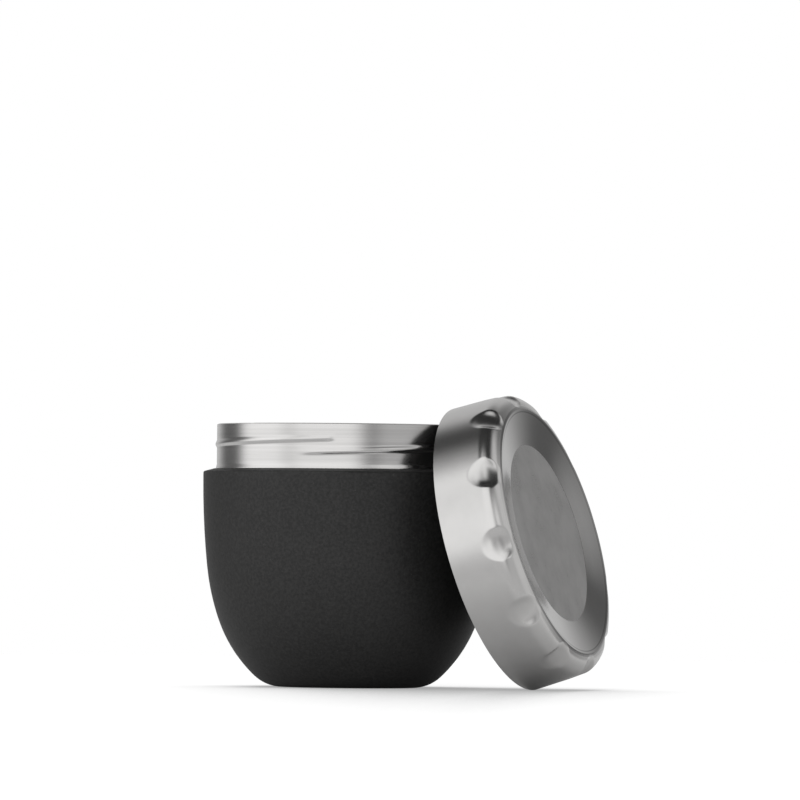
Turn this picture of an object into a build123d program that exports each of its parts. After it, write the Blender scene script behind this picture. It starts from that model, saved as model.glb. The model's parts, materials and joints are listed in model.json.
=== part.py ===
"""Insulated stainless bowl with a screw lid, shown with the lid off and leaning against the bowl.

Millimetres, +Z up. The origin is the centre of the bowl's flat base, on the surface that it stands on.
The bowl is a vacuum vessel of two steel walls. The lid is a pressed steel cap over a threaded inner cap.
"""
import os
from math import atan2, cos, degrees, hypot, pi, radians, sin, tan

from build123d import *

os.makedirs("parts", exist_ok=True)

# Bowl body, outside
body_radius = 60.0
flank_height = 85.9
shoulder_side = 2.3
shoulder_rise = 1.2
shoulder_width = 4.4
shoulder_round = 0.9
belly_inset = 33.0
flank_curve = 347.0
belly_curve = 99.1
knee_radius = 59.0
base_round = 16.8
belly_angles = (6.0, 19.0, 46.5)
body_wall = 0.8
base_ledge = 4.5

# Neck collar and its two-start thread
neck_inset = 1.1
neck_wall = 0.6
neck_length = 18.1
foot_curve = 3.0
foot_turn = 30.0
foot_edge = 0.2
thread_starts = 2
thread_lead = 10.8
thread_rise = 6.4
thread_first_angle = -114.0
thread_span = 198.0
thread_runout = 12.0
thread_step = 6.0
bead_height = 3.0
bead_proud = 0.9
bead_root = 0.3
bead_taper = 0.55
bead_sink = 0.1

# Inner liner
liner_gap = 0.7
liner_wall = 0.6
liner_straight = 34.0
liner_floor = 7.0
liner_inset = 30.6
liner_flank_curve = 144.0
liner_belly_curve = 126.6
liner_knee_radius = 49.0
liner_base_round = 16.0
lip_height = 0.3
lip_inset = 0.2
foil_gap = 0.3
foil_thickness = 0.2
foil_drop = 3.9

# Base plate, evacuation port, getter and base cover
plate_lap = 2.3
plate_thickness = 0.6
port_radius = 1.0
port_well_radius = 4.0
port_well_depth = 1.2
port_well_slope = 0.6
seal_bead_height = 0.9
seal_stem = 0.9
seal_clearance = 0.1
glue_gap = 0.05
getter_radius = 3.5
getter_thickness = 1.4
getter_gap = 4.3
clip_width = 3.0
clip_foot = 3.0
clip_thickness = 0.3
clip_clearance = 0.1

# Lid shell
lid_reveal = 0.2
lid_rest = 0.5
lid_draft = 1.55
lid_wall = 0.6
roof_depth = 4.8
ridge_inset = 7.85
ridge_rise = 2.9
band_slope = 17.0
corner_round = 6.9
ridge_round = 1.5
annulus_width = 14.65
disc_round = 3.0
rim_round = 0.25
dimple_count = 12
dimple_phase = 4.1
dimple_floor = 18.0
dimple_hollow = 18.0
dimple_band_reach = 0.12
dimple_ridge_reach = 0.75
dimple_edge = 1.5

# Inner cap, seal ring and foam of the lid
cap_start = 1.1
cap_wall = 1.2
cap_bead_clearance = 0.55
cap_neck_clearance = 0.5
cap_flange = 1.2
cap_fit = 0.15
cap_step_drop = 5.6
cap_step = 1.5
ceiling_thickness = 1.2
seal_width = 3.2
seal_thickness = 1.5
seal_fit = 0.2
seal_round = 0.4
lug_height = 2.4
lug_proud = 1.15
lug_span = 70.0
lug_runout = 10.0
foam_clearance = 0.15
foam_side_gap = 1.0

# Where the lid stands: leaning on the bowl's mouth, with its open rim on the ground
lean_angle = 16.2
lean_azimuth = -20.3
lean_gap = 0.33
lean_steps = 180
lean_accuracy = 0.001


def tangent_arcs(top, end, radii):
    """Four tangent arcs from an upright side down to a flat base, as (centre, radius, from, to) in degrees.

    The upper two radii and the lower two are each scaled together, so that the curve meets both ends.
    """
    marks = [0.0, *belly_angles, 90.0]
    run = [r * (cos(radians(a)) - cos(radians(b))) for r, a, b in zip(radii, marks, marks[1:])]
    drop = [r * (sin(radians(b)) - sin(radians(a))) for r, a, b in zip(radii, marks, marks[1:])]
    upper = (run[0] + run[1], drop[0] + drop[1])
    lower = (run[2] + run[3], drop[2] + drop[3])
    inward = top[0] - end[0]
    down = top[1] - end[1]
    spread = upper[0] * lower[1] - lower[0] * upper[1]
    upper_scale = (inward * lower[1] - lower[0] * down) / spread
    lower_scale = (upper[0] * down - inward * upper[1]) / spread
    scales = (upper_scale, upper_scale, lower_scale, lower_scale)
    arcs = []
    r, z = top
    for nominal, scale, a, b in zip(radii, scales, marks, marks[1:]):
        radius = nominal * scale
        centre = (r - radius * cos(radians(a)), z + radius * sin(radians(a)))
        arcs.append((centre, radius, a, b))
        r = centre[0] + radius * cos(radians(b))
        z = centre[1] - radius * sin(radians(b))
    return arcs


def draw_arcs(arcs, inset=0.0):
    """Draws tangent arcs, moved inwards by inset, into the line that is being built."""
    for centre, radius, a, b in arcs:
        CenterArc(centre, radius - inset, -a, a - b)


def arc_point(arc, inset, at_end):
    """One end of a tangent arc that is moved inwards by inset."""
    centre, radius, a, b = arc
    angle = radians(b if at_end else a)
    return (centre[0] + (radius - inset) * cos(angle), centre[1] - (radius - inset) * sin(angle))


def inset_corners(points, inset):
    """The corners of an open outline moved to its right-hand side by inset."""
    moved = []
    for i, point in enumerate(points):
        before = points[max(i - 1, 0)]
        after = points[min(i + 1, len(points) - 1)]
        first = atan2(point[1] - before[1], point[0] - before[0]) if i else None
        second = atan2(after[1] - point[1], after[0] - point[0]) if i < len(points) - 1 else first
        first = second if first is None else first
        half = (second - first) / 2
        reach = inset / cos(half)
        side = (first + second) / 2 - pi / 2
        moved.append((point[0] + reach * cos(side), point[1] + reach * sin(side)))
    return moved


def helical_bead(frame, wall_radius, height, proud, first_height, first_angle, span, runout):
    """One thread bead on a round wall: D-shaped sections along a helix, sunk into the wall at both ends."""
    stations = max(round(span / thread_step), 2) + 1
    outward = 1 if proud > 0 else -1
    sections = []
    for i in range(stations):
        along = span * i / (stations - 1)
        ease = min(1.0, along / runout, (span - along) / runout)
        angle = radians(first_angle + along)
        radial = frame.x_dir * cos(angle) + frame.y_dir * sin(angle)
        around = frame.y_dir * cos(angle) - frame.x_dir * sin(angle)
        rise = first_height + thread_lead * along / 360
        centre = frame.origin + radial * wall_radius + frame.z_dir * rise
        half = height / 2 * (bead_taper + (1 - bead_taper) * ease)
        crest = abs(proud) * ease - bead_sink * (1 - ease)
        with BuildSketch(Plane(origin=centre, x_dir=radial * outward, z_dir=around * -outward)) as section:
            with BuildLine():
                Line((-bead_root, -half), (-bead_root, half))
                ThreePointArc((-bead_root, -half), (crest, 0), (-bead_root, half))
            make_face()
        sections.append(section.sketch)
    loft(sections, ruled=True)


shoulder_height = flank_height + shoulder_side
seat_height = shoulder_height + shoulder_rise
seat_radius = body_radius - shoulder_width
base_radius = body_radius - belly_inset
base_hole_radius = base_radius - base_ledge
body_arcs = tangent_arcs(
    (body_radius, flank_height), (base_radius, 0), (flank_curve, belly_curve, knee_radius, base_round)
)
neck_radius = seat_radius - neck_inset
neck_top = seat_height + neck_length
thread_first_height = seat_height + thread_rise
collar_bore = neck_radius - neck_wall
liner_outer = collar_bore - liner_gap
liner_radius = liner_outer - liner_wall
liner_straight_from = neck_top - liner_straight
liner_base_radius = liner_radius - liner_inset
liner_arcs = tangent_arcs(
    (liner_radius, liner_straight_from),
    (liner_base_radius, liner_floor),
    (liner_flank_curve, liner_belly_curve, liner_knee_radius, liner_base_round),
)

# Outer body: belly, sloping shoulder and the seat for the collar
with BuildPart() as outer_body:
    with BuildSketch(Plane.XZ):
        with BuildLine():
            top = [
                (collar_bore, seat_height),
                (seat_radius, seat_height),
                (body_radius, shoulder_height),
                (body_radius, flank_height),
            ]
            FilletPolyline(*top, radius=shoulder_round)
            draw_arcs(body_arcs)
            Polyline((base_radius, 0), (base_hole_radius, 0), (base_hole_radius, body_wall))
            Line((base_hole_radius, body_wall), (base_radius, body_wall))
            draw_arcs(body_arcs, body_wall)
            inner_top = inset_corners(top, body_wall)
            Polyline((body_radius - body_wall, flank_height), *inner_top[-2:0:-1], inner_top[0], top[0])
        make_face()
    revolve(axis=Axis.Z)

# Neck collar: flared foot on the seat, plain wall and rolled thread beads
with BuildPart() as neck_collar:
    foot_radius = neck_radius + foot_curve * (1 - cos(radians(foot_turn)))
    foot_top = seat_height + foot_edge
    flare_top = foot_top + foot_curve * sin(radians(foot_turn))
    with BuildSketch(Plane.XZ):
        with BuildLine():
            Polyline((foot_radius, foot_top), (foot_radius, seat_height), (collar_bore, seat_height))
            Polyline((collar_bore, seat_height), (collar_bore, neck_top), (neck_radius, neck_top))
            Line((neck_radius, neck_top), (neck_radius, flare_top))
            CenterArc((neck_radius + foot_curve, flare_top), foot_curve, 180, foot_turn)
        make_face()
    revolve(axis=Axis.Z)
    for start in range(thread_starts):
        helical_bead(
            Plane.XY, neck_radius, bead_height, bead_proud, thread_first_height,
            thread_first_angle + 360 / thread_starts * start, thread_span, thread_runout,
        )

# Inner liner: the food side, with a rounded lip over the collar's top edge
lip_radius = neck_radius - lip_inset
with BuildPart() as inner_liner:
    with BuildSketch(Plane.XZ):
        with BuildLine():
            Polyline((liner_base_radius, liner_floor), (0, liner_floor), (0, liner_floor - liner_wall))
            Line((0, liner_floor - liner_wall), (liner_base_radius, liner_floor - liner_wall))
            draw_arcs(liner_arcs)
            draw_arcs(liner_arcs, -liner_wall)
            Line((liner_radius, liner_straight_from), (liner_radius, neck_top))
            lip_middle = ((liner_radius + lip_radius) / 2, neck_top + lip_height)
            lip_arc = ThreePointArc((liner_radius, neck_top), lip_middle, (lip_radius, neck_top))
            Polyline((lip_radius, neck_top), (liner_outer, neck_top), (liner_outer, liner_straight_from))
        make_face()
    revolve(axis=Axis.Z)

# Heat foil: reflecting wrap round the liner, inside the vacuum
foil_inner = -(liner_wall + foil_gap)
foil_outer = foil_inner - foil_thickness
foil_top = seat_height - foil_drop
with BuildPart() as heat_foil:
    with BuildSketch(Plane.XZ):
        with BuildLine():
            draw_arcs(liner_arcs[:3], foil_inner)
            draw_arcs(liner_arcs[:3], foil_outer)
            Line(arc_point(liner_arcs[2], foil_inner, True), arc_point(liner_arcs[2], foil_outer, True))
            near = arc_point(liner_arcs[0], foil_inner, False)
            far = arc_point(liner_arcs[0], foil_outer, False)
            Polyline(near, (near[0], foil_top), (far[0], foil_top), far)
        make_face()
    revolve(axis=Axis.Z)

# Base plate: welded over the hole in the body's base, with the evacuation port in a small well
plate_radius = base_hole_radius + plate_lap
plate_top = body_wall + plate_thickness
well_top = body_wall + port_well_depth
well_edge = port_well_radius + port_well_slope + plate_thickness
with BuildPart() as base_plate:
    with BuildSketch(Plane.XZ):
        with BuildLine():
            Polyline(
                (port_radius, well_top),
                (port_well_radius, well_top),
                (port_well_radius + port_well_slope, body_wall),
                (plate_radius, body_wall),
                (plate_radius, plate_top),
                (well_edge, plate_top),
                (port_well_radius + plate_thickness, well_top + plate_thickness),
                (port_radius, well_top + plate_thickness),
                close=True,
            )
        make_face()
    revolve(axis=Axis.Z)

# Port seal: the bead of solder glass that closes the port once the air is out
with BuildPart() as port_seal:
    with BuildSketch(Plane.XZ):
        with BuildLine():
            stem_radius = port_radius - seal_clearance
            stem_top = well_top + seal_stem
            bead_radius = port_well_radius - seal_clearance
            bead_bottom = well_top - seal_bead_height
            Polyline(
                (0, bead_bottom),
                (bead_radius, bead_bottom),
                (bead_radius, well_top),
                (stem_radius, well_top),
                (stem_radius, stem_top),
                (0, stem_top),
                close=True,
            )
        make_face()
    revolve(axis=Axis.Z)

# Base cover: flat disc in the base's hole, level with the ground
with BuildPart() as base_cover:
    Cylinder(
        base_hole_radius - seal_clearance, body_wall - glue_gap, align=(Align.CENTER, Align.CENTER, Align.MIN)
    )

# Getter pill and the clip that holds it on the base plate
getter_offset = well_edge + getter_gap + getter_radius
with BuildPart(Plane((getter_offset, 0, plate_top))) as getter:
    Cylinder(getter_radius, getter_thickness, align=(Align.CENTER, Align.CENTER, Align.MIN))
    chamfer(getter.edges().filter_by(GeomType.CIRCLE), clip_thickness / 2)

with BuildPart() as getter_clip:
    leg = getter_radius + clip_clearance
    bridge = plate_top + getter_thickness + clip_clearance / 2
    with BuildSketch(Plane.YZ.offset(getter_offset - clip_width / 2)):
        with BuildLine():
            half = [
                (0, bridge + clip_thickness),
                (leg + clip_thickness, bridge + clip_thickness),
                (leg + clip_thickness, plate_top + clip_thickness),
                (leg + clip_foot, plate_top + clip_thickness),
                (leg + clip_foot, plate_top),
                (leg, plate_top),
                (leg, bridge),
                (0, bridge),
            ]
            Polyline(*half)
            mirror(about=Plane.YZ)
        make_face()
    extrude(amount=clip_width)

# Lid sizes that follow from the neck: when closed, the open rim stops just above the bowl's shoulder
closed_rim = shoulder_height + lid_rest
lid_radius = body_radius - lid_reveal
ceiling_height = neck_top + lip_height - closed_rim
disc_height = ceiling_height + roof_depth
ridge_height = disc_height + ridge_rise
ridge_radius = lid_radius - ridge_inset
disc_radius = ridge_radius - annulus_width
cap_step_height = ceiling_height - cap_step_drop
lug_first_height = thread_first_height - closed_rim
skirt_radius = neck_radius + bead_proud + cap_bead_clearance
upper_radius = neck_radius + cap_neck_clearance

# Circles of the bowl that the leaning lid can touch, as (radius, height): the lip, the neck and the body
lip_shares = (0.5, 0.65, 0.8, 1.0)
bowl_circles = [
    *[((lip_arc @ share).X, (lip_arc @ share).Y) for share in lip_shares],
    (neck_radius, neck_top),
    (seat_radius, seat_height),
    (body_radius, shoulder_height),
    *[arc_point(arc, 0, False) for arc in body_arcs],
]
lean = radians(lean_angle)
turn = radians(lean_azimuth)


def gap_to_bowl(distance):
    """The least gap from the bowl to the lid, with the rim's centre this far from the bowl's axis."""
    gaps = []
    for radius, height in bowl_circles:
        rise = height - lid_radius * cos(lean)
        for step in range(lean_steps + 1):
            angle = pi / 2 * step / lean_steps
            ahead = radius * cos(angle) - distance
            depth = ahead * cos(lean) + rise * sin(lean)
            reach = hypot(rise * cos(lean) - ahead * sin(lean), radius * sin(angle))
            for start, inner in ((0, lid_radius - lid_wall), (cap_start, skirt_radius)):
                gaps.append(hypot(max(start - depth, 0), max(inner - reach, reach - lid_radius, 0)))
    return min(gaps)


# Brings the lid up to the bowl until only the gap is left
near = 0.0
far = body_radius + lid_radius
while far - near > lean_accuracy:
    middle = (near + far) / 2
    if gap_to_bowl(middle) < lean_gap:
        near = middle
    else:
        far = middle
lean_distance = far

# The lid's own frame: origin at the middle of its open rim, z along its axis towards its top
lid_axis = Vector(cos(lean) * cos(turn), cos(lean) * sin(turn), sin(lean))
lid_up = Vector(-sin(lean) * cos(turn), -sin(lean) * sin(turn), cos(lean))
rim_centre = Vector(lean_distance * cos(turn), lean_distance * sin(turn), lid_radius * cos(lean))
lid_plane = Plane(origin=rim_centre, x_dir=lid_up, z_dir=lid_axis)
lid_section = Plane(origin=rim_centre, x_dir=lid_up, z_dir=lid_up.cross(lid_axis))
lid_line = Axis(rim_centre, lid_axis)

# Lid outline from the axis, over the recessed disc, the ridge and the corner, down to the open rim
draft = tan(radians(lid_draft))
band = tan(radians(band_slope))
edge_height = (ridge_height - (lid_radius - ridge_radius) * band) / (1 - draft * band)
edge_radius = lid_radius - edge_height * draft
lid_outline = [
    (0, disc_height),
    (disc_radius, disc_height),
    (ridge_radius, ridge_height),
    (edge_radius, edge_height),
    (lid_radius, 0),
]
lid_rounds = [disc_round, ridge_round, corner_round]
lid_inner = inset_corners(lid_outline, lid_wall)
lid_inner[-1] = (lid_radius - lid_wall / cos(radians(lid_draft)), 0)
inner_rounds = [disc_round + lid_wall, ridge_round - lid_wall, corner_round - lid_wall]

# The corner's centre, and the centre of the arc that the dimples' floor follows from the band to the ridge
corner_turn = radians(90 - lid_draft - band_slope)
corner_reach = corner_round * tan(corner_turn / 2)
slant = radians(lid_draft)
corner_r = edge_radius + corner_reach * sin(slant) - corner_round * cos(slant)
corner_h = edge_height - corner_reach * cos(slant) - corner_round * sin(slant)
band_back = dimple_floor - corner_round - dimple_band_reach
ridge_back = dimple_floor - corner_round - dimple_ridge_reach
across = (ridge_back - band_back * cos(corner_turn)) / sin(corner_turn)
floor_r = corner_r - band_back * cos(slant) + across * sin(slant)
floor_h = corner_h - band_back * sin(slant) - across * cos(slant)


def dimple_tool(tube):
    """A bent round bar that presses one dimple, in the lid's frame on its x side."""
    bend = dimple_floor + dimple_hollow
    away = Vector(cos(slant), 0, sin(slant))
    start = Plane(Vector(floor_r, 0, floor_h) + away * bend, x_dir=away, z_dir=(-sin(slant), 0, cos(slant)))
    with BuildPart() as tool:
        with BuildSketch(start):
            Circle(tube)
        revolve(axis=Axis((floor_r, 0, floor_h), (0, -1, 0)), revolution_arc=degrees(corner_turn))
    return tool.part


dimple_outside = dimple_tool(dimple_hollow)
dimple_inside = dimple_tool(dimple_hollow + lid_wall)


def cap_solid(outline, rounds):
    """Turns a lid outline into a solid cap, in the part that is being built."""
    with BuildSketch(lid_section) as section:
        with BuildLine():
            FilletPolyline(*outline, radius=rounds)
            Polyline(outline[-1], (0, 0), outline[0])
        make_face()
    revolve(section.sketch, axis=lid_line)


def cut_dimples(tool):
    """Cuts the ring of finger dimples with the given tool."""
    with Locations(lid_plane):
        with PolarLocations(0, dimple_count, start_angle=dimple_phase):
            add(tool, mode=Mode.SUBTRACT)


with BuildPart() as lid_hollow:
    cap_solid(lid_inner, inner_rounds)
    cut_dimples(dimple_inside)

# Lid shell: pressed steel cap with dimples round its corner and a recessed disc
with BuildPart() as lid_shell:
    cap_solid(lid_outline, lid_rounds)
    cut_dimples(dimple_outside)
    fillet(lid_shell.edges(Select.LAST), dimple_edge)
    add(lid_hollow.part, mode=Mode.SUBTRACT)
    fillet(lid_shell.edges().group_by(lid_line)[0], rim_round)

# Inner cap: threaded skirt, groove for the seal ring and ceiling
flange_radius = lid_radius - lid_wall - (cap_start + cap_flange) * draft - cap_fit
groove_outer = upper_radius - seal_fit
groove_inner = groove_outer - seal_width - 2 * seal_fit
groove_top = ceiling_height + seal_thickness
with BuildPart() as lid_cap:
    with BuildSketch(lid_section):
        with BuildLine():
            Polyline(
                (skirt_radius, cap_start),
                (flange_radius, cap_start),
                (flange_radius, cap_start + cap_flange),
                (skirt_radius + cap_wall, cap_start + cap_flange),
                (skirt_radius + cap_wall, cap_step_height - cap_step / 2),
                (upper_radius + cap_wall, cap_step_height + cap_step / 2),
                (upper_radius + cap_wall, ceiling_height),
                (groove_outer, groove_top + ceiling_thickness),
                (groove_inner - cap_wall, groove_top + ceiling_thickness),
                (groove_inner - cap_wall, ceiling_height + ceiling_thickness),
                (0, ceiling_height + ceiling_thickness),
                (0, ceiling_height),
                (groove_inner, ceiling_height),
                (groove_inner, groove_top),
                (groove_outer, groove_top),
                (groove_outer, ceiling_height),
                (upper_radius, ceiling_height),
                (upper_radius, cap_step_height + cap_step / 2),
                (skirt_radius, cap_step_height - cap_step / 2),
                close=True,
            )
        make_face()
    revolve(axis=lid_line)
    for start in range(thread_starts):
        helical_bead(
            lid_plane, skirt_radius, lug_height, -lug_proud, lug_first_height,
            360 / thread_starts * start, lug_span, lug_runout,
        )

# Seal ring: silicone ring in the inner cap's groove, which meets the bowl's lip
with BuildPart() as lid_seal:
    ring_middle = (groove_inner + groove_outer) / 2
    ring_top = groove_top - seal_fit
    with BuildSketch(lid_section):
        with Locations((ring_middle, ring_top - seal_thickness / 2)):
            RectangleRounded(seal_width, seal_thickness, seal_round)
    revolve(axis=lid_line)

# Foam: fills the lid between the inner cap's ceiling and the steel top
with BuildPart() as lid_foam:
    foam_top = inset_corners(lid_outline, lid_wall + foam_clearance)
    foam_radius = ridge_radius - foam_side_gap
    foam_slope = (foam_top[2][1] - foam_top[1][1]) / (foam_top[2][0] - foam_top[1][0])
    foam_edge = foam_top[1][1] + (foam_radius - foam_top[1][0]) * foam_slope
    ceiling_top = ceiling_height + ceiling_thickness + foam_clearance
    groove_back = groove_top + ceiling_thickness + foam_clearance
    groove_side = groove_inner - cap_wall - foam_clearance
    with BuildSketch(lid_section):
        with BuildLine():
            Polyline(
                *foam_top[:2],
                (foam_radius, foam_edge),
                (foam_radius, groove_back),
                (groove_side, groove_back),
                (groove_side, ceiling_top),
                (0, ceiling_top),
                close=True,
            )
        make_face()
    revolve(axis=lid_line)

pieces = {
    "outer_body": outer_body,
    "neck_collar": neck_collar,
    "inner_liner": inner_liner,
    "heat_foil": heat_foil,
    "base_plate": base_plate,
    "port_seal": port_seal,
    "base_cover": base_cover,
    "getter": getter,
    "getter_clip": getter_clip,
    "lid_shell": lid_shell,
    "lid_cap": lid_cap,
    "lid_seal": lid_seal,
    "lid_foam": lid_foam,
}
for name, piece in pieces.items():
    piece.part.label = name
    export_step(piece.part, f"parts/{name}.step")
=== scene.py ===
"""Looks of an insulated steel bowl with its screw lid leaning against it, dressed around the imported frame.

Metres, in the frame's own axes: +Z up, -Y towards the camera, the lid on the +X side.
"""
import json
import math

import bpy
from mathutils import Matrix, Vector


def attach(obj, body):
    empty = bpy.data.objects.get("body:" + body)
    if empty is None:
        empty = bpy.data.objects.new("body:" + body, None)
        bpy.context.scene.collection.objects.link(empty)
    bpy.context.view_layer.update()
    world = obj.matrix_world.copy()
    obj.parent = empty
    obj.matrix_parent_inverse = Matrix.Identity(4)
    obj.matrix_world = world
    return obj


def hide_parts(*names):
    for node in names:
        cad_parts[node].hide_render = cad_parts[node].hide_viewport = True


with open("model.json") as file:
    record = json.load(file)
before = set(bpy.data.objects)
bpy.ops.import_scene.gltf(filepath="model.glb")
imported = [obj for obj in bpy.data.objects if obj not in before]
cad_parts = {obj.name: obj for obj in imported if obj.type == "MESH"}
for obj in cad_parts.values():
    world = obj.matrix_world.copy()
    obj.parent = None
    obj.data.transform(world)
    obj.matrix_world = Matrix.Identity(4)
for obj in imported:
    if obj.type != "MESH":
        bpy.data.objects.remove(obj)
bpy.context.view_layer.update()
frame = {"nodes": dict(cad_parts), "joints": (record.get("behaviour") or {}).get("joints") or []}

MM = 0.001

# Turned meshes: points nearer than this are joined, and edges sharper than this stay sharp
merge_distance = 0.0005 * MM
crease_angle = math.radians(40)

# The lid's own frame, from the joint that it turns on
lid_joint = next(joint for joint in frame["joints"] if joint["name"] == "lid_turn")
lid_axis = Vector(lid_joint["axis"]).normalized()
rim_centre = Vector(lid_joint["pos_m"])
lid_up = (Vector((0, 0, 1)) - lid_axis * lid_axis.z).normalized()
lid_turned = Matrix((lid_up, lid_axis.cross(lid_up), lid_axis)).transposed()

# Pressed lid, in its own frame: (distance from the axis, height over the open rim) in millimetres
lid_radius = 59.8
lid_wall = 0.6
disc_radius = 37.3
disc_height = 23.9
ridge_radius = 51.95
ridge_height = 26.8
edge_radius = 59.13
edge_height = 24.6
disc_round = 3.0
ridge_round = 1.5
corner_round = 6.9

# Mesh of the lid: columns round it, steps in an arc, and how far apart the points of its outline are
lid_columns = 720
outer_arc_steps = 16
inner_arc_steps = 8
ridge_spacing = 0.2
corner_spacing = 0.45
plain_spacing = 6.0
inner_coarser = 3

# Finger dimples in the lid's corner: round dishes, pressed in square to a slanting face
# Place is a point of that face, and lower is how far down the face a dish has its middle.
# The corner is first shaved to a bend that is sunk under the face. Shave gives the squared distances from
# the dish's middle where that ends and where it is whole. Edge softens the dish's rim, and the foot share is
# the part of the depth that is left at its lower end.
dimple_count = 12
dimple_phase = 4.1
dimple_slant = 33.0
dimple_place = (58.16, 23.21)
dimple_lower = 1.1
dimple_half_length = 6.9
dimple_half_width = 7.0
dimple_depth = 1.5
dimple_bend = 8.0
dimple_sink = 0.45
dimple_shave = (0.9, 0.2)
dimple_edge = 0.08
dimple_foot_share = 0.35

# Threaded neck, in millimetres and degrees
# A bead starts at its first angle and height, climbs the lead in a turn, and fades in and out at its ends.
neck_radius = 54.5
neck_bore = 53.9
neck_foot = 89.4
neck_top = 107.5
foot_spread = 0.4
foot_edge = 0.2
foot_rise = 1.5
foot_round = 3.0
thread_starts = 2
thread_lead = 10.8
thread_first_angle = -114.0
thread_first_height = 95.8
thread_span = 198.5
thread_fade_in = 16.0
thread_fade_out = 4.5
thread_half_above = 2.0
thread_half_below = 1.5
thread_proud = 0.60

# Mesh of the neck: columns round it, steps in the foot's arc, spacing along the wall, and depth of a skin
neck_columns = 480
foot_arc_steps = 10
neck_spacing = 0.25
neck_skin = 0.1

# Where the finishes change on the lid: two distances from its axis, a height over its rim, and their blurs
disc_edge = 37.6 * MM
disc_blur = 0.5 * MM
ridge_edge = 51.9 * MM
ridge_blur = 0.4 * MM
band_top = 19.0 * MM
band_blur = 1.5 * MM

# Painted shade beside the lid's ridge: two dark lines where a crease's shade falls, as (distance from the
# axis, half width) in millimetres
ridge_shade_lines = ((52.5, 0.7), (50.7, 0.35))

# Steel is a little warmer than grey
steel_warmth = 0.012


class Wire:
    """A socket's value in a node tree. Operators on it add Math nodes."""

    def __init__(self, tree, socket):
        self.tree = tree
        self.socket = socket

    def math(self, operation, *others):
        """A Math node on this value and the others."""
        sockets = dict(enumerate((self, *others)))
        return self.tree.add("ShaderNodeMath", {"operation": operation}, sockets)

    def __add__(self, other):
        return self.math("ADD", other)

    def __sub__(self, other):
        return self.math("SUBTRACT", other)

    def __rsub__(self, other):
        return self.math("MULTIPLY_ADD", -1.0, other)

    def __mul__(self, other):
        return self.math("MULTIPLY", other)

    def __truediv__(self, other):
        return self.math("DIVIDE", other)

    def __pow__(self, other):
        return self.math("POWER", other)

    __radd__ = __add__
    __rmul__ = __mul__

    def step(self, start, end, low=0.0, high=1.0):
        """A soft step from low to high between two values."""
        return self.tree.add(
            "ShaderNodeMapRange",
            {"interpolation_type": "SMOOTHSTEP"},
            {"Value": self, "From Min": start, "From Max": end, "To Min": low, "To Max": high},
        )


class Tree:
    """A node tree that is written as expressions."""

    def __init__(self, node_tree):
        self.nodes = node_tree.nodes
        self.links = node_tree.links
        self.nodes.clear()

    def add(self, kind, settings=None, sockets=None, output=0):
        """Adds a node, sets it, feeds its sockets with values or wires, and gives one of its outputs."""
        node = self.nodes.new(kind)
        for name, value in (settings or {}).items():
            setattr(node, name, value)
        for key, value in (sockets or {}).items():
            if isinstance(value, Wire):
                self.links.new(value.socket, node.inputs[key])
            else:
                node.inputs[key].default_value = value
        return Wire(self, node.outputs[output]) if node.outputs else None

    def vector(self, operation, first, second):
        """A Vector Math node on two vectors."""
        return self.add("ShaderNodeVectorMath", {"operation": operation}, {0: first, 1: second})

    def split(self, vector):
        """The three parts of a vector."""
        node = self.add("ShaderNodeSeparateXYZ", None, {0: vector}).socket.node
        return [Wire(self, socket) for socket in node.outputs]

    def mix(self, factor, first, second):
        """A colour between two colours. The node's sockets go by number, because their names repeat."""
        return self.add("ShaderNodeMix", {"data_type": "RGBA"}, {0: factor, 6: first, 7: second}, 2)

    def noise(self, vector, scale, detail=2.0, roughness=0.5):
        """Noise from 0 to 1 in cells of 1 / scale metres."""
        return self.add(
            "ShaderNodeTexNoise",
            {"noise_dimensions": "3D"},
            {"Vector": vector, "Scale": scale, "Detail": detail, "Roughness": roughness},
        )

    def bump(self, height, strength, distance):
        """A normal for a relief as deep as the distance."""
        relief = {"Height": height, "Strength": strength, "Distance": distance}
        return self.add("ShaderNodeBump", None, relief)

    def place(self):
        """A point of the piece, in the frame's axes."""
        return self.add("ShaderNodeTexCoord", None, None, "Object")

    def place_in_lid(self):
        """A point of the piece in the lid's own frame: z along the lid's axis, from the open rim."""
        return self.add(
            "ShaderNodeMapping",
            {"vector_type": "TEXTURE"},
            {"Vector": self.place(), "Location": rim_centre, "Rotation": lid_turned.to_euler("XYZ")},
        )


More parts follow.
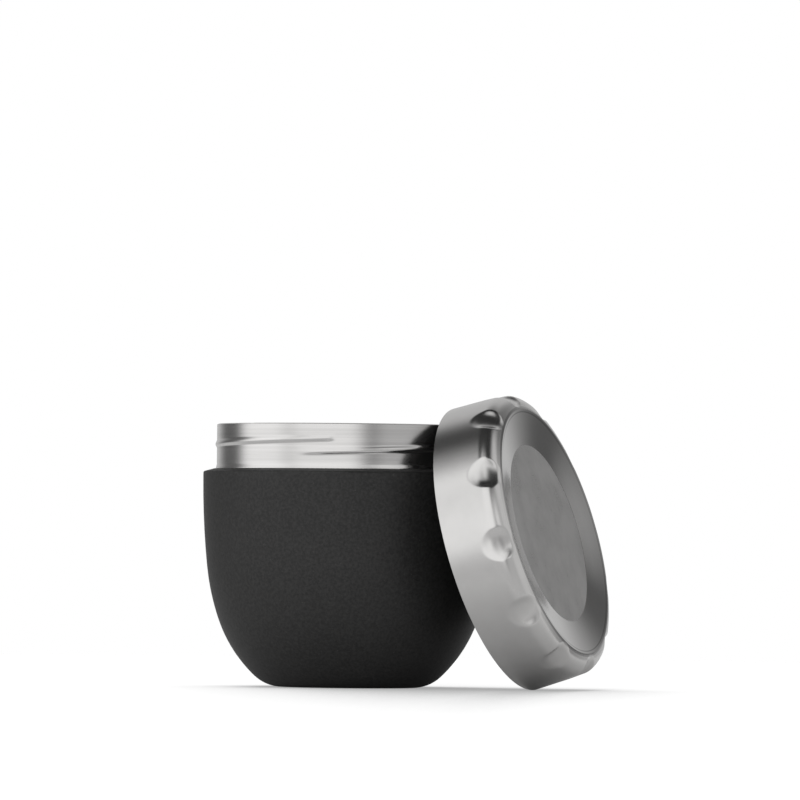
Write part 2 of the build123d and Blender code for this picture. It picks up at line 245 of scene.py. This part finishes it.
class Shape(Tree):
    """A Geometry Nodes tree with named inputs for its sizes."""

    def __init__(self, name, sizes):
        self.group = bpy.data.node_groups.new(name, "GeometryNodeTree")
        super().__init__(self.group)
        interface = self.group.interface
        interface.new_socket("Outline", in_out="INPUT", socket_type="NodeSocketGeometry")
        for label, value in sizes.items():
            kind = "NodeSocketInt" if isinstance(value, int) else "NodeSocketFloat"
            interface.new_socket(label, in_out="INPUT", socket_type=kind)
        interface.new_socket("Piece", in_out="OUTPUT", socket_type="NodeSocketGeometry")
        entry = self.add("NodeGroupInput").socket.node
        self.given = {socket.name: Wire(self, socket) for socket in entry.outputs if socket.name}
        self.sizes = sizes

    def turn(self, rule, material):
        """Turns the outline round z, with each point's radius and height moved by the rule."""
        outline = self.given["Outline"]
        of_mesh = {"component": "MESH"}
        rows = self.add("GeometryNodeAttributeDomainSize", of_mesh, {0: outline}, "Point Count")
        columns = self.given["Columns"] + 1
        counts = {"Size X": 1.0, "Size Y": 1.0, "Vertices X": columns, "Vertices Y": rows}
        sheet = self.add("GeometryNodeMeshGrid", None, counts, "Mesh")
        place = self.add("GeometryNodeInputPosition")
        across, along, _ = self.split(place)
        row = (along + 0.5) * (rows - 1) + 0.5
        clamped = {"data_type": "FLOAT_VECTOR", "clamp": True}
        sampled = {"Geometry": outline, "Value": place, "Index": row}
        point = self.add("GeometryNodeSampleIndex", clamped, sampled)
        radius, under, height = self.split(point)
        degrees = (across + 0.5) * 360.0
        radius, height = rule(radius, height, under, degrees, self.given)
        angle = degrees * (math.pi / 180)
        parts = {0: radius * angle.math("COSINE"), 1: radius * angle.math("SINE"), 2: height}
        moved = self.add("ShaderNodeCombineXYZ", None, parts)
        turned = self.add("GeometryNodeSetPosition", None, {"Geometry": sheet, "Position": moved})
        merged = {"Geometry": turned, "Distance": merge_distance}
        closed = self.add("GeometryNodeMergeByDistance", None, merged)
        softened = {0: closed, "Shade Smooth": True}
        smooth = self.add("GeometryNodeSetShadeSmooth", {"domain": "FACE"}, softened)
        bend = self.add("GeometryNodeInputMeshEdgeAngle")
        sharp = self.add("FunctionNodeCompare", {"operation": "GREATER_THAN"}, {0: bend, 1: crease_angle})
        creased = {0: smooth, "Selection": sharp, "Shade Smooth": False}
        piece = self.add("GeometryNodeSetShadeSmooth", {"domain": "EDGE"}, creased)
        real = self.add("GeometryNodeRealizeInstances", None, {0: piece})
        dressed = self.add("GeometryNodeSetMaterial", None, {"Geometry": real, "Material": material})
        self.add("NodeGroupOutput", None, {0: dressed})

    def make(self, name, outline):
        """The turned outline as a plain mesh. Its points are (radius, depth under the skin, height)."""
        line = bpy.data.meshes.new(name)
        points = [Vector(point) * MM for point in outline]
        line.from_pydata(points, [(i, i + 1) for i in range(len(points) - 1)], [])
        piece = bpy.data.objects.new(name, line)
        bpy.context.scene.collection.objects.link(piece)
        turning = piece.modifiers.new("turn", "NODES")
        turning.node_group = self.group
        for socket in self.group.interface.items_tree:
            if socket.name in self.sizes:
                turning[socket.identifier] = self.sizes[socket.name]
        shaped = piece.evaluated_get(bpy.context.evaluated_depsgraph_get())
        piece.data = bpy.data.meshes.new_from_object(shaped)
        piece.modifiers.remove(turning)
        return piece


class Finish(Tree):
    """A material and its node tree."""

    def __init__(self, name):
        self.material = bpy.data.materials.new(name)
        self.material.use_nodes = True
        super().__init__(self.material.node_tree)

    def shade(self, **sockets):
        """Ends the tree in a principled shader. A socket is named in small letters, with _ for a space."""
        named = {key.replace("_", " ").title(): value for key, value in sockets.items()}
        shader = self.add("ShaderNodeBsdfPrincipled", None, named)
        self.add("ShaderNodeOutputMaterial", None, {"Surface": shader})
        return self.material


def grey(level, warmth=0.0):
    """A grey, a little warmer for a positive warmth."""
    return (level * (1 + warmth), level, level * (1 - warmth), 1.0)


def brushed_lines(finish, place, lengthwise, across):
    """Fine lines that run round z: long along the turn, thin across it. Gives their height from 0 to 1."""
    stretched = finish.vector("MULTIPLY", place, (lengthwise, lengthwise, across))
    coarse = finish.noise(stretched, 1.0, 3.0, 0.6)
    fine = finish.noise(stretched, 3.1, 2.0, 0.5)
    return coarse * 0.6 + fine * 0.4


def black_coat():
    """Matte black powder coat: a fine orange-peel grain with a few paler specks."""
    finish = Finish("black_coat")
    place = finish.place()
    grain = finish.noise(place, 2600.0, 3.0, 0.65)
    mottle = finish.noise(place, 850.0, 3.0, 0.6)
    cloud = finish.noise(place, 28.0, 3.0, 0.5)
    speck = finish.noise(place, 900.0, 1.0, 0.4).step(0.74, 0.80)
    shade = grain * 0.3 + mottle * 0.55 + cloud * 0.15
    colour = finish.mix(shade.step(0.36, 0.64), grey(0.005, 0.02), grey(0.025, 0.02))
    colour = finish.mix(speck * 0.3, colour, grey(0.09, 0.03))
    rough = 0.50 + grain * 0.14 + cloud * 0.06
    normal = finish.bump(grain * 0.6 + mottle * 0.4, 0.35, 0.12 * MM)
    return finish.shade(base_color=colour, roughness=rough, normal=normal)


def neck_steel():
    """Bare steel neck, turned: fine lines run round it."""
    finish = Finish("brushed_neck")
    place = finish.place()
    lines = brushed_lines(finish, place, 14.0, 5200.0)
    streak = finish.noise(finish.vector("MULTIPLY", place, (9.0, 9.0, 900.0)), 1.0, 2.0, 0.5)
    colour = finish.mix(streak.step(0.3, 0.7), grey(0.59, steel_warmth), grey(0.65, steel_warmth))
    rough = 0.17 + lines * 0.10
    normal = finish.bump(lines, 0.3, 0.02 * MM)
    return finish.shade(base_color=colour, metallic=1.0, roughness=rough, normal=normal)


def liner_steel():
    """Food side of the bowl: satin steel with turning lines and faint clouds."""
    finish = Finish("liner_steel")
    place = finish.place()
    lines = brushed_lines(finish, place, 12.0, 3600.0)
    cloud = finish.noise(place, 55.0, 3.0, 0.55)
    colour = finish.mix(cloud.step(0.3, 0.7), grey(0.57, steel_warmth), grey(0.66, steel_warmth))
    rough = 0.27 + lines * 0.10 + cloud * 0.05
    normal = finish.bump(lines, 0.5, 0.025 * MM)
    return finish.shade(base_color=colour, metallic=1.0, roughness=rough, normal=normal)


def lid_steel():
    """Pressed steel lid: brushed round its side, smooth on its top, with a cloudy disc, and two lines of
    painted shade beside its ridge.
    """
    finish = Finish("brushed_lid")
    place = finish.place_in_lid()
    x, y, height = finish.split(place)
    out = (x * x + y * y) ** 0.5
    on_disc = out.step(disc_edge, disc_edge - disc_blur)
    on_top = out.step(ridge_edge + ridge_blur, ridge_edge - ridge_blur)
    on_band = height.step(band_top + band_blur, band_top - band_blur)
    lines = brushed_lines(finish, place, 12.0, 4200.0)
    turned = finish.add("ShaderNodeCombineXYZ", None, {0: x * 20.0, 1: y * 20.0, 2: out * 3000.0})
    rings = finish.noise(turned, 1.0, 2.0, 0.5)
    cloud = finish.noise(place, 70.0, 4.0, 0.6)
    grain = finish.noise(place, 3000.0, 2.0, 0.5)
    pattern = lines * (1 - on_top) + (rings * 0.4 + grain * 0.6) * on_top
    tone = (cloud.step(0.25, 0.75) - 0.5) * (on_disc * 0.75 + 0.25) + on_disc * 0.2 + 0.5
    colour = finish.mix(tone, grey(0.55, steel_warmth), grey(0.69, steel_warmth))
    # Painted shade: thin dark lines beside the ridge stand in for the shade and dark reflections of a crease
    # there
    for middle, half in ridge_shade_lines:
        off_line = (out - middle * MM).math("ABSOLUTE")
        line = off_line.step(half * MM, half / 2 * MM)
        colour = finish.mix(line * 0.55, colour, grey(0.17, 0.01))
    rough = 0.06 + pattern * 0.06 + (1 - on_top) * 0.14 + on_disc * (cloud * 0.08 + 0.16)
    normal = finish.bump(pattern, on_band * 0.3 + 0.08, 0.02 * MM)
    return finish.shade(base_color=colour, metallic=1.0, roughness=rough, normal=normal)


def heat_foil():
    """Bright wrap with soft crumples."""
    finish = Finish("foil")
    place = finish.place()
    crumple = finish.noise(place, 180.0, 4.0, 0.6)
    colour = finish.mix(crumple, grey(0.72), grey(0.86))
    normal = finish.bump(crumple, 0.6, 0.4 * MM)
    return finish.shade(base_color=colour, metallic=1.0, roughness=0.14 + crumple * 0.12, normal=normal)


def rolled_steel(name, level):
    """Plain rolled sheet: long rolling lines and dull patches."""
    finish = Finish(name)
    place = finish.place()
    lines = finish.noise(finish.vector("MULTIPLY", place, (30.0, 2400.0, 2400.0)), 1.0, 2.0, 0.5)
    patch = finish.noise(place, 240.0, 3.0, 0.5)
    colour = finish.mix(patch, grey(level * 0.88), grey(level * 1.1))
    normal = finish.bump(lines, 0.4, 0.03 * MM)
    return finish.shade(base_color=colour, metallic=1.0, roughness=0.30 + patch * 0.14, normal=normal)


def solder_glass():
    """Fired bead of brown solder glass with small bubbles."""
    finish = Finish("solder_glass")
    place = finish.place()
    swirl = finish.noise(place, 900.0, 3.0, 0.6)
    bubble = finish.noise(place, 2600.0, 1.0, 0.4).step(0.66, 0.74)
    colour = finish.mix(swirl, (0.16, 0.10, 0.06, 1), (0.30, 0.20, 0.12, 1))
    normal = finish.bump(bubble * -1.0, 0.5, 0.05 * MM)
    return finish.shade(base_color=colour, roughness=0.22 + swirl * 0.2, normal=normal)


def getter_pill():
    """Pressed metal powder: grey and finely pitted."""
    finish = Finish("getter_pill")
    place = finish.place()
    grain = finish.noise(place, 5200.0, 3.0, 0.7)
    colour = finish.mix(grain, grey(0.16, 0.02), grey(0.34, 0.02))
    normal = finish.bump(grain, 0.6, 0.06 * MM)
    return finish.shade(base_color=colour, metallic=0.6, roughness=0.55 + grain * 0.25, normal=normal)


def cap_plastic():
    """Moulded black plastic with a fine spark-eroded grain."""
    finish = Finish("cap_plastic")
    place = finish.place()
    grain = finish.noise(place, 3400.0, 3.0, 0.65)
    flow = finish.noise(place, 60.0, 3.0, 0.5)
    colour = finish.mix(flow, grey(0.020), grey(0.032))
    normal = finish.bump(grain, 0.35, 0.05 * MM)
    return finish.shade(base_color=colour, roughness=0.42 + grain * 0.16, normal=normal)


def silicone():
    """Grey silicone ring: soft, matte and a little dusty."""
    finish = Finish("silicone")
    place = finish.place()
    dust = finish.noise(place, 1500.0, 3.0, 0.6)
    cloud = finish.noise(place, 90.0, 2.0, 0.5)
    colour = finish.mix(dust * 0.5 + cloud * 0.5, grey(0.36), grey(0.47))
    normal = finish.bump(dust, 0.25, 0.04 * MM)
    return finish.shade(base_color=colour, roughness=0.48 + dust * 0.18, normal=normal)


def foam():
    """Closed-cell foam: pale, with small open cells at its skin."""
    finish = Finish("foam")
    place = finish.place()
    cells = finish.add("ShaderNodeTexVoronoi", None, {"Vector": place, "Scale": 900.0})
    tone = finish.noise(place, 120.0, 3.0, 0.5)
    colour = finish.mix(tone, (0.74, 0.71, 0.62, 1), (0.86, 0.84, 0.77, 1))
    normal = finish.bump(cells, 0.5, 0.3 * MM)
    return finish.shade(base_color=colour, roughness=0.78 + tone * 0.15, normal=normal)


def dress(node, material):
    """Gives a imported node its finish."""
    for slot in frame["nodes"][node].material_slots:
        slot.material = material


def rounded(corners, rounds, steps):
    """An outline with its inner corners turned into arcs of so many steps."""
    corners = [Vector(corner) for corner in corners]
    points = [corners[0]]
    for before, corner, after, radius in zip(corners, corners[1:], corners[2:], rounds):
        back = (before - corner).normalized()
        ahead = (after - corner).normalized()
        half = back.angle(ahead) / 2
        middle = corner + (back + ahead).normalized() * (radius / math.sin(half))
        start = corner + back * (radius / math.tan(half)) - middle
        end = corner + ahead * (radius / math.tan(half)) - middle
        sweep = start.angle_signed(end)
        points += [middle + Matrix.Rotation(-sweep * i / steps, 2) @ start for i in range(steps + 1)]
    points.append(corners[-1])
    return points


def inset(corners, wall):
    """The corners of an open outline, moved to its right by a wall."""
    corners = [Vector(corner) for corner in corners]
    runs = [(end - start).normalized() for start, end in zip(corners, corners[1:])]
    moved = []
    for corner, before, after in zip(corners, runs[:1] + runs, runs + runs[-1:]):
        middle = (before + after).normalized()
        side = Vector((middle.y, -middle.x))
        moved.append(corner + side * (wall / middle.dot(after)))
    return moved


def spaced(points, spacing):
    """An outline's points, with more between those that are further apart than the spacing there allows."""
    longest_gap = 1.5
    placed = [points[0]]
    for corner in points[1:]:
        while (corner - placed[-1]).length > longest_gap * spacing(placed[-1]):
            placed.append(placed[-1] + (corner - placed[-1]).normalized() * spacing(placed[-1]))
        placed.append(corner)
    return placed


def lid_spacing(point):
    """Close points round the ridge and the corner, wide ones elsewhere."""
    off_corner = (point - Vector((edge_radius, edge_height))).length
    if abs(point.x - ridge_radius) < 2 * ridge_round:
        return ridge_spacing
    return corner_spacing if off_corner < 2 * dimple_half_width else plain_spacing


def dished(radius, height, under, degrees, given):
    """Presses the ring of dimples into the lid's corner: the corner is shaved, and a dish pressed in."""
    pitch = 360 / dimple_count
    away = (degrees - dimple_phase + pitch / 2).math("FLOORED_MODULO", pitch) - pitch / 2
    out = math.cos(math.radians(dimple_slant))
    up = math.sin(math.radians(dimple_slant))
    off_radius = radius - dimple_place[0] * MM
    off_height = height - dimple_place[1] * MM
    level = off_radius * out + off_height * up + under
    across = off_height * out - off_radius * up
    wide = radius * (away * (math.pi / 180)).math("SINE") / given["Dimple Half Length"]
    tall = (across + dimple_lower * MM) / given["Dimple Half Width"]
    from_middle = wide * wide + tall * tall
    over_bend = level + across * across / (given["Dimple Bend"] * 2) + dimple_sink * MM
    shave = over_bend.math("MAXIMUM", 0.0) * from_middle.step(*dimple_shave)
    dish = (1 - from_middle).math("SMOOTH_MAX", 0.0, dimple_edge) * given["Dimple Depth"]
    press = shave + dish * tall.step(-1.0, 0.0, dimple_foot_share, 1.0)
    return radius - press * out, height - press * up


def threaded(radius, height, under, degrees, given):
    """Rolls the thread's beads out of the neck's wall."""
    bead = 0.0
    for start in range(thread_starts):
        first = thread_first_angle + 360 / thread_starts * start
        along = (degrees - first).math("FLOORED_MODULO", 360.0)
        middle = along * (thread_lead / 360 * MM) + thread_first_height * MM
        above = ((height - middle) / given["Bead Half Above"]).math("MAXIMUM", 0.0)
        below = ((middle - height) / given["Bead Half Below"]).math("MAXIMUM", 0.0)
        bell = (1 - above * above - below * below).math("MAXIMUM", 0.0) ** 2.0
        ease = along.step(0.0, thread_fade_in) * along.step(thread_span, thread_span - thread_fade_out)
        bead = bell * ease + bead
    outside = radius.step((neck_bore + neck_skin) * MM, (neck_radius - neck_skin) * MM)
    return radius + bead * outside * given["Bead Height"], height


def pressed_lid(material):
    """Steel shell of the lid, with its dimples, in one sheet of even thickness."""
    corners = [
        (0, disc_height),
        (disc_radius, disc_height),
        (ridge_radius, ridge_height),
        (edge_radius, edge_height),
        (lid_radius, 0),
    ]
    inner = inset(corners, lid_wall)
    inner[0] = Vector((0, disc_height - lid_wall))
    inner[-1] = Vector((lid_radius - lid_wall, 0))
    rounds = [disc_round, ridge_round, corner_round]
    inner_rounds = [disc_round + lid_wall, ridge_round - lid_wall, corner_round - lid_wall]
    outside = spaced(rounded(corners, rounds, outer_arc_steps), lid_spacing)
    inner = rounded(inner, inner_rounds, inner_arc_steps)
    inside = spaced(inner, lambda point: inner_coarser * lid_spacing(point))
    sizes = {
        "Columns": lid_columns,
        "Dimple Half Length": dimple_half_length * MM,
        "Dimple Half Width": dimple_half_width * MM,
        "Dimple Depth": dimple_depth * MM,
        "Dimple Bend": dimple_bend * MM,
    }
    shape = Shape("pressed_lid", sizes)
    shape.turn(dished, material)
    lining = [(point.x, lid_wall, point.y) for point in inside]
    skin = [(point.x, 0, point.y) for point in reversed(outside)]
    piece = shape.make("pressed_lid_shell", lining + skin)
    piece.data.transform(Matrix.Translation(rim_centre) @ lid_turned.to_4x4())
    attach(piece, "lid")
    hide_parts("lid_shell")


def threaded_neck(material):
    """Neck collar with its flared foot and its soft rolled thread."""
    foot_radius = neck_radius + foot_spread
    corners = [
        (neck_bore, neck_foot),
        (foot_radius, neck_foot),
        (foot_radius, neck_foot + foot_edge),
        (neck_radius, neck_foot + foot_edge + foot_rise),
        (neck_radius, neck_top),
        (neck_bore, neck_top),
        (neck_bore, neck_foot),
    ]
    wall = [Vector(corner) for corner in corners]
    wall[3:4] = rounded(corners[2:5], [foot_round], foot_arc_steps)[1:-1]
    sizes = {
        "Columns": neck_columns,
        "Bead Height": thread_proud * MM,
        "Bead Half Above": thread_half_above * MM,
        "Bead Half Below": thread_half_below * MM,
    }
    shape = Shape("threaded_neck", sizes)
    shape.turn(threaded, material)
    skin = [(point.x, 0, point.y) for point in spaced(wall, lambda point: neck_spacing)]
    piece = shape.make("threaded_neck", skin)
    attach(piece, "bowl")
    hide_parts("neck_collar")


coat = black_coat()
neck_finish = neck_steel()
lid_finish = lid_steel()
plate_steel = rolled_steel("plate_steel", 0.55)
finishes = {
    "outer_body": coat,
    "base_cover": coat,
    "neck_collar": neck_finish,
    "inner_liner": liner_steel(),
    "heat_foil": heat_foil(),
    "base_plate": plate_steel,
    "port_seal": solder_glass(),
    "getter": getter_pill(),
    "getter_clip": plate_steel,
    "lid_shell": lid_finish,
    "lid_cap": cap_plastic(),
    "lid_seal": silicone(),
    "lid_foam": foam(),
}
for node_name, finish_material in finishes.items():
    dress(node_name, finish_material)
threaded_neck(neck_finish)
pressed_lid(lid_finish)

# Studio light: upright soft panels round the object, by direction
# Azimuth 0 is towards the camera, and positive to the left. Walls and ground go all the way round.
# Each is (middle, half width, soft edge, lower edge, upper edge) in degrees, and a strength.
# Panel fade softens the lower and upper edges. Room level is added from everywhere, and pole guard keeps
# straight up and down from dividing by zero.
panels = {
    "left": (82.0, 25.0, 10.0, -8.0, 52.0, 1.12),
    "front": (21.0, 33.0, 11.0, -8.0, 72.0, 1.04),
    "hood": (-32.0, 18.0, 10.0, 22.0, 34.0, 0.55),
    "right": (-45.0, 22.0, 10.0, -8.0, 45.0, 0.46),
    "right_rear": (-90.0, 22.0, 10.0, -8.0, 58.0, 0.60),
    "right_edge": (-115.0, 9.0, 5.0, -8.0, 58.0, 0.26),
    "back": (180.0, 33.0, 15.0, -8.0, 50.0, 0.51),
    "walls": (0.0, 190.0, 1.0, -90.0, 52.0, 0.09),
    "ground": (0.0, 190.0, 1.0, -100.0, -8.0, 0.50),
}
panel_fade = 9.0
room_level = 0.03
pole_guard = 1e-6


def studio_world():
    """White to the camera. All else sees a dim room with soft panels."""
    world = bpy.data.worlds.new("studio")
    world.use_nodes = True
    bpy.context.scene.world = world
    tree = Tree(world.node_tree)
    x, y, z = tree.split(tree.add("ShaderNodeTexCoord", None, None, "Generated"))
    level_reach = (x * x + y * y + pole_guard) ** 0.5
    elevation = z.math("ARCSINE") * (180 / math.pi)
    light = room_level
    for middle, half, soft, low, high, strength in panels.values():
        aim = math.radians(middle)
        facing = (x * -math.sin(aim) + y * -math.cos(aim)) / level_reach
        away = facing.math("ARCCOSINE") * (180 / math.pi)
        wide = away.step(half + soft, half - soft)
        under_top = elevation.step(high + panel_fade, high - panel_fade)
        over_foot = elevation.step(low - panel_fade, low + panel_fade)
        light = wide * (under_top * over_foot) * strength + light
    to_camera = tree.add("ShaderNodeLightPath", None, None, "Is Camera Ray")
    room = tree.add("ShaderNodeBackground", None, {"Color": (1, 1, 1, 1), "Strength": light})
    white = tree.add("ShaderNodeBackground", None, {"Color": (1, 1, 1, 1), "Strength": 1.0})
    surface = tree.add("ShaderNodeMixShader", None, {0: to_camera, 1: room, 2: white})
    tree.add("ShaderNodeOutputWorld", None, {"Surface": surface})


# Floor: a pale sheet, flat under the object, that bends down in front and up behind and fades out, in metres
# Lift is the light that it gives to the camera and to the metal, and shade is what the object takes of it.
floor_rows = 160
floor_reach = 0.60
floor_flat = 0.05
floor_bend = 0.35
floor_rise = 0.007
floor_fade = (0.30, 0.50)
floor_colour = 0.30
floor_lift = 0.92
floor_lift_in_metal = 0.50
floor_shade_reach = 0.12
floor_shade_span = (0.30, 0.90)
floor_shade_level = 0.40
floor_shade_lean = (-0.20, 0.45, 0.87)


def floor():
    """Pale floor that keeps the object's soft shadow."""
    mesh = bpy.data.meshes.new("floor")
    corners = []
    for i in range(floor_rows + 1):
        y = floor_reach * (2 * i / floor_rows - 1)
        bend = max(0, abs(y) - floor_flat) ** 2 / (2 * floor_bend)
        z = -bend if y < 0 else floor_rise * (1 - math.exp(-bend / floor_rise))
        corners += [(-floor_reach, y, z), (floor_reach, y, z)]
    faces = [(2 * i, 2 * i + 1, 2 * i + 3, 2 * i + 2) for i in range(floor_rows)]
    mesh.from_pydata(corners, [], faces)
    mesh.shade_smooth()
    sheet = bpy.data.objects.new("floor", mesh)
    bpy.context.scene.collection.objects.link(sheet)
    finish = Finish("floor")
    x, y, _ = finish.split(finish.place())
    fade = ((x * x + y * y) ** 0.5).step(*floor_fade)
    path = finish.add("ShaderNodeLightPath").socket.node
    seen = Wire(finish, path.outputs["Is Camera Ray"])
    mirrored = Wire(finish, path.outputs["Is Glossy Ray"])
    through = Wire(finish, path.outputs["Is Transmission Ray"])
    lean = finish.add("ShaderNodeCombineXYZ", None, dict(enumerate(floor_shade_lean)))
    shading = {"Distance": floor_shade_reach, "Normal": lean}
    open_share = finish.add("ShaderNodeAmbientOcclusion", None, shading, "AO")
    shade = open_share.step(*floor_shade_span, floor_shade_level, 1.0)
    lift = seen * shade * floor_lift + (mirrored + through) * open_share * floor_lift_in_metal
    matte = finish.add("ShaderNodeBsdfDiffuse", None, {"Color": grey(floor_colour)})
    glow = finish.add("ShaderNodeEmission", None, {"Color": grey(1.0), "Strength": lift})
    both = finish.add("ShaderNodeAddShader", None, {0: matte, 1: glow})
    clear = finish.add("ShaderNodeBsdfTransparent")
    surface = finish.add("ShaderNodeMixShader", None, {0: fade, 1: both, 2: clear})
    finish.add("ShaderNodeOutputMaterial", None, {"Surface": surface})
    mesh.materials.append(finish.material)


# Camera: level with the middle of the bowl and far away, tipped up a little to frame the object low
# Tip and roll are in degrees, the lens and its sensor in millimetres, and the sight in metres.
camera_place = Vector((20.54, -3593.0, 57.1)) * MM
camera_tip = 0.975
camera_roll = 0.561
camera_lens = 393.3
camera_sensor = 36.0
camera_sight = 20.0


def camera():
    """Camera in front of the bowl, with a long lens."""
    view = bpy.data.cameras.new("camera")
    view.lens = camera_lens
    view.sensor_width = camera_sensor
    view.clip_end = camera_sight
    seat = bpy.data.objects.new("camera", view)
    bpy.context.scene.collection.objects.link(seat)
    tipped = Matrix.Rotation(math.radians(90 + camera_tip), 4, "X")
    rolled = Matrix.Rotation(math.radians(camera_roll), 4, "Z")
    seat.matrix_world = Matrix.Translation(camera_place) @ tipped @ rolled
    bpy.context.scene.camera = seat


studio_world()
floor()
camera()
bpy.context.scene.view_settings.view_transform = "Standard"
